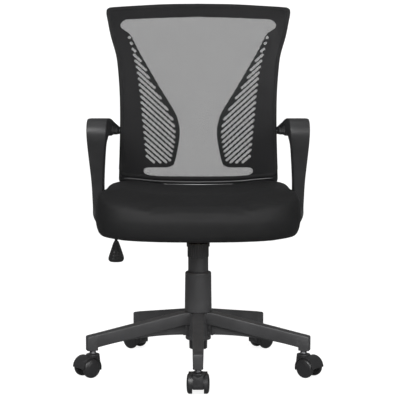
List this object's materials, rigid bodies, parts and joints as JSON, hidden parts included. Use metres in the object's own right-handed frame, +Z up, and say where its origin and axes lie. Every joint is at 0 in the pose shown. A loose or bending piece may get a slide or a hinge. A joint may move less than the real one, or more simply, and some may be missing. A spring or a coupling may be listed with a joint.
{
  "type": "swivel office chair",
  "caption": "Swivel office chair with a net back on a slotted frame, padded seat, fixed armrests, gas lift, tilt mechanism and a five-leg base on casters.",
  "frame": {"origin": "On the floor, on the axis of the gas lift column, midway between the front caster and the top rear edge of the back.", "axes": "+Z up, +X to the sitter's left as they sit, -Y the way the sitter faces."},
  "size_m": [0.6404, 0.6025, 0.975],
  "materials": {
    "moulded_nylon": "fine spark-eroded texture",
    "caster_nylon": "smooth satin moulding",
    "paddle_plastic": "polished moulding",
    "guide_plastic": "natural turned plastic",
    "black_steel": "black powder coat",
    "bright_steel": "ground and plated",
    "zinc_steel": "zinc plated",
    "plywood": "bare moulded plywood",
    "seat_fabric": "fine black air mesh over foam",
    "back_net": "open black polyester net"
  },
  "bodies": {
    "base": {"base_star": "moulded_nylon", "gas_lift_outer_tube": "black_steel", "gas_lift_guide_bush": "guide_plastic", "gas_lift_thrust_bearing": "zinc_steel", "column_lower_cover": "moulded_nylon", "caster_1_stem": "zinc_steel", "caster_2_stem": "zinc_steel", "caster_3_stem": "zinc_steel", "caster_4_stem": "zinc_steel", "caster_5_stem": "zinc_steel"},
    "caster_1": {"caster_1_hood": "caster_nylon", "caster_1_axle": "zinc_steel"},
    "caster_1_right": {"caster_1_wheel_right": "caster_nylon"},
    "caster_1_left": {"caster_1_wheel_left": "caster_nylon"},
    "caster_2": {"caster_2_hood": "caster_nylon", "caster_2_axle": "zinc_steel"},
    "caster_2_right": {"caster_2_wheel_right": "caster_nylon"},
    "caster_2_left": {"caster_2_wheel_left": "caster_nylon"},
    "caster_3": {"caster_3_hood": "caster_nylon", "caster_3_axle": "zinc_steel"},
    "caster_3_right": {"caster_3_wheel_right": "caster_nylon"},
    "caster_3_left": {"caster_3_wheel_left": "caster_nylon"},
    "caster_4": {"caster_4_hood": "caster_nylon", "caster_4_axle": "zinc_steel"},
    "caster_4_right": {"caster_4_wheel_right": "caster_nylon"},
    "caster_4_left": {"caster_4_wheel_left": "caster_nylon"},
    "caster_5": {"caster_5_hood": "caster_nylon", "caster_5_axle": "zinc_steel"},
    "caster_5_right": {"caster_5_wheel_right": "caster_nylon"},
    "caster_5_left": {"caster_5_wheel_left": "caster_nylon"},
    "lift_rod": {"gas_lift_piston_rod": "bright_steel", "gas_lift_retaining_clip": "zinc_steel"},
    "mechanism": {"gas_lift_cylinder": "black_steel", "column_upper_cover": "moulded_nylon", "mechanism_housing": "black_steel", "tilt_pivot_pin": "zinc_steel", "tension_spring": "zinc_steel"},
    "release_button": {"gas_lift_release_button": "bright_steel"},
    "lever_rocker": {"lever_bush": "moulded_nylon"},
    "lever": {"lever_rod": "black_steel", "lever_paddle": "paddle_plastic"},
    "seat": {"mechanism_seat_plate": "black_steel", "tension_bolt": "zinc_steel", "seat_pan": "plywood", "seat_cushion": "seat_fabric", "armrest_right": "moulded_nylon", "armrest_left": "moulded_nylon", "back_frame": "moulded_nylon", "back_mesh": "back_net", "seat_plate_screw_1": "zinc_steel", "seat_plate_screw_2": "zinc_steel", "seat_plate_screw_3": "zinc_steel", "seat_plate_screw_4": "zinc_steel", "armrest_screw_right_1": "zinc_steel", "armrest_screw_right_2": "zinc_steel", "back_screw_right": "zinc_steel", "armrest_screw_left_1": "zinc_steel", "armrest_screw_left_2": "zinc_steel", "back_screw_left": "zinc_steel"},
    "knob": {"tension_knob": "moulded_nylon"}
  },
  "joints": [
    {"name": "caster_1_swivel", "type": "hinge", "parent": "base", "child": "caster_1", "pos_m": [0, -0.284, 0.05], "axis": [0, 0, 1], "continuous": true},
    {"name": "caster_1_roll_right", "type": "hinge", "parent": "caster_1", "child": "caster_1_right", "pos_m": [0, -0.266, 0.025], "axis": [1, 0, 0], "continuous": true},
    {"name": "caster_1_roll_left", "type": "hinge", "parent": "caster_1", "child": "caster_1_left", "pos_m": [0, -0.266, 0.025], "axis": [1, 0, 0], "continuous": true},
    {"name": "caster_2_swivel", "type": "hinge", "parent": "base", "child": "caster_2", "pos_m": [0.2701, -0.08776, 0.05], "axis": [0, 0, 1], "continuous": true},
    {"name": "caster_2_roll_right", "type": "hinge", "parent": "caster_2", "child": "caster_2_right", "pos_m": [0.28348, -0.09981, 0.025], "axis": [-0.6691, -0.7431, 0], "continuous": true},
    {"name": "caster_2_roll_left", "type": "hinge", "parent": "caster_2", "child": "caster_2_left", "pos_m": [0.28348, -0.09981, 0.025], "axis": [-0.6691, -0.7431, 0], "continuous": true},
    {"name": "caster_3_swivel", "type": "hinge", "parent": "base", "child": "caster_3", "pos_m": [0.16693, 0.22976, 0.05], "axis": [0, 0, 1], "continuous": true},
    {"name": "caster_3_roll_right", "type": "hinge", "parent": "caster_3", "child": "caster_3_right", "pos_m": [0.18072, 0.24133, 0.025], "axis": [0.6428, -0.766, 0], "continuous": true},
    {"name": "caster_3_roll_left", "type": "hinge", "parent": "caster_3", "child": "caster_3_left", "pos_m": [0.18072, 0.24133, 0.025], "axis": [0.6428, -0.766, 0], "continuous": true},
    {"name": "caster_4_swivel", "type": "hinge", "parent": "base", "child": "caster_4", "pos_m": [-0.16693, 0.22976, 0.05], "axis": [0, 0, 1], "continuous": true},
    {"name": "caster_4_roll_right", "type": "hinge", "parent": "caster_4", "child": "caster_4_right", "pos_m": [-0.18072, 0.24133, 0.025], "axis": [0.6428, 0.766, 0], "continuous": true},
    {"name": "caster_4_roll_left", "type": "hinge", "parent": "caster_4", "child": "caster_4_left", "pos_m": [-0.18072, 0.24133, 0.025], "axis": [0.6428, 0.766, 0], "continuous": true},
    {"name": "caster_5_swivel", "type": "hinge", "parent": "base", "child": "caster_5", "pos_m": [-0.2701, -0.08776, 0.05], "axis": [0, 0, 1], "continuous": true},
    {"name": "caster_5_roll_right", "type": "hinge", "parent": "caster_5", "child": "caster_5_right", "pos_m": [-0.28348, -0.09981, 0.025], "axis": [-0.6691, 0.7431, 0], "continuous": true},
    {"name": "caster_5_roll_left", "type": "hinge", "parent": "caster_5", "child": "caster_5_left", "pos_m": [-0.28348, -0.09981, 0.025], "axis": [-0.6691, 0.7431, 0], "continuous": true},
    {"name": "seat_swivel", "type": "hinge", "parent": "base", "child": "lift_rod", "pos_m": [0, 0, 0.06], "axis": [0, 0, 1], "continuous": true},
    {"name": "height_slide", "type": "slide", "parent": "lift_rod", "child": "mechanism", "axis": [0, 0, 1], "range_m": [0, 0.1]},
    {"name": "button_press", "type": "slide", "parent": "mechanism", "child": "release_button", "axis": [0, 0, -1], "range_m": [0, 0.0028], "stiffness_N_per_m": 600, "springref_m": -0.004},
    {"name": "lever_lift", "type": "hinge", "parent": "mechanism", "child": "lever_rocker", "pos_m": [-0.034, 0, 0.346], "axis": [0, 1, 0], "range_deg": [0, 4]},
    {"name": "lever_pull", "type": "slide", "parent": "lever_rocker", "child": "lever", "axis": [-1, 0, 0], "range_m": [0, 0.012]},
    {"name": "tilt", "type": "hinge", "parent": "mechanism", "child": "seat", "pos_m": [0, -0.045, 0.352], "axis": [-1, 0, 0], "range_deg": [0, 15], "stiffness_Nm_per_rad": 60, "springref_deg": -20.05, "deforming": ["tension_spring"]},
    {"name": "tension_turn", "type": "hinge", "parent": "seat", "child": "knob", "pos_m": [0, -0.098, 0.326], "axis": [0, 0, 1], "range_deg": [-720, 720]}
  ],
  "couplings": [
    {"joint": "button_press", "follows": "lever_lift", "m_per_rad": 0.0365}
  ]
}
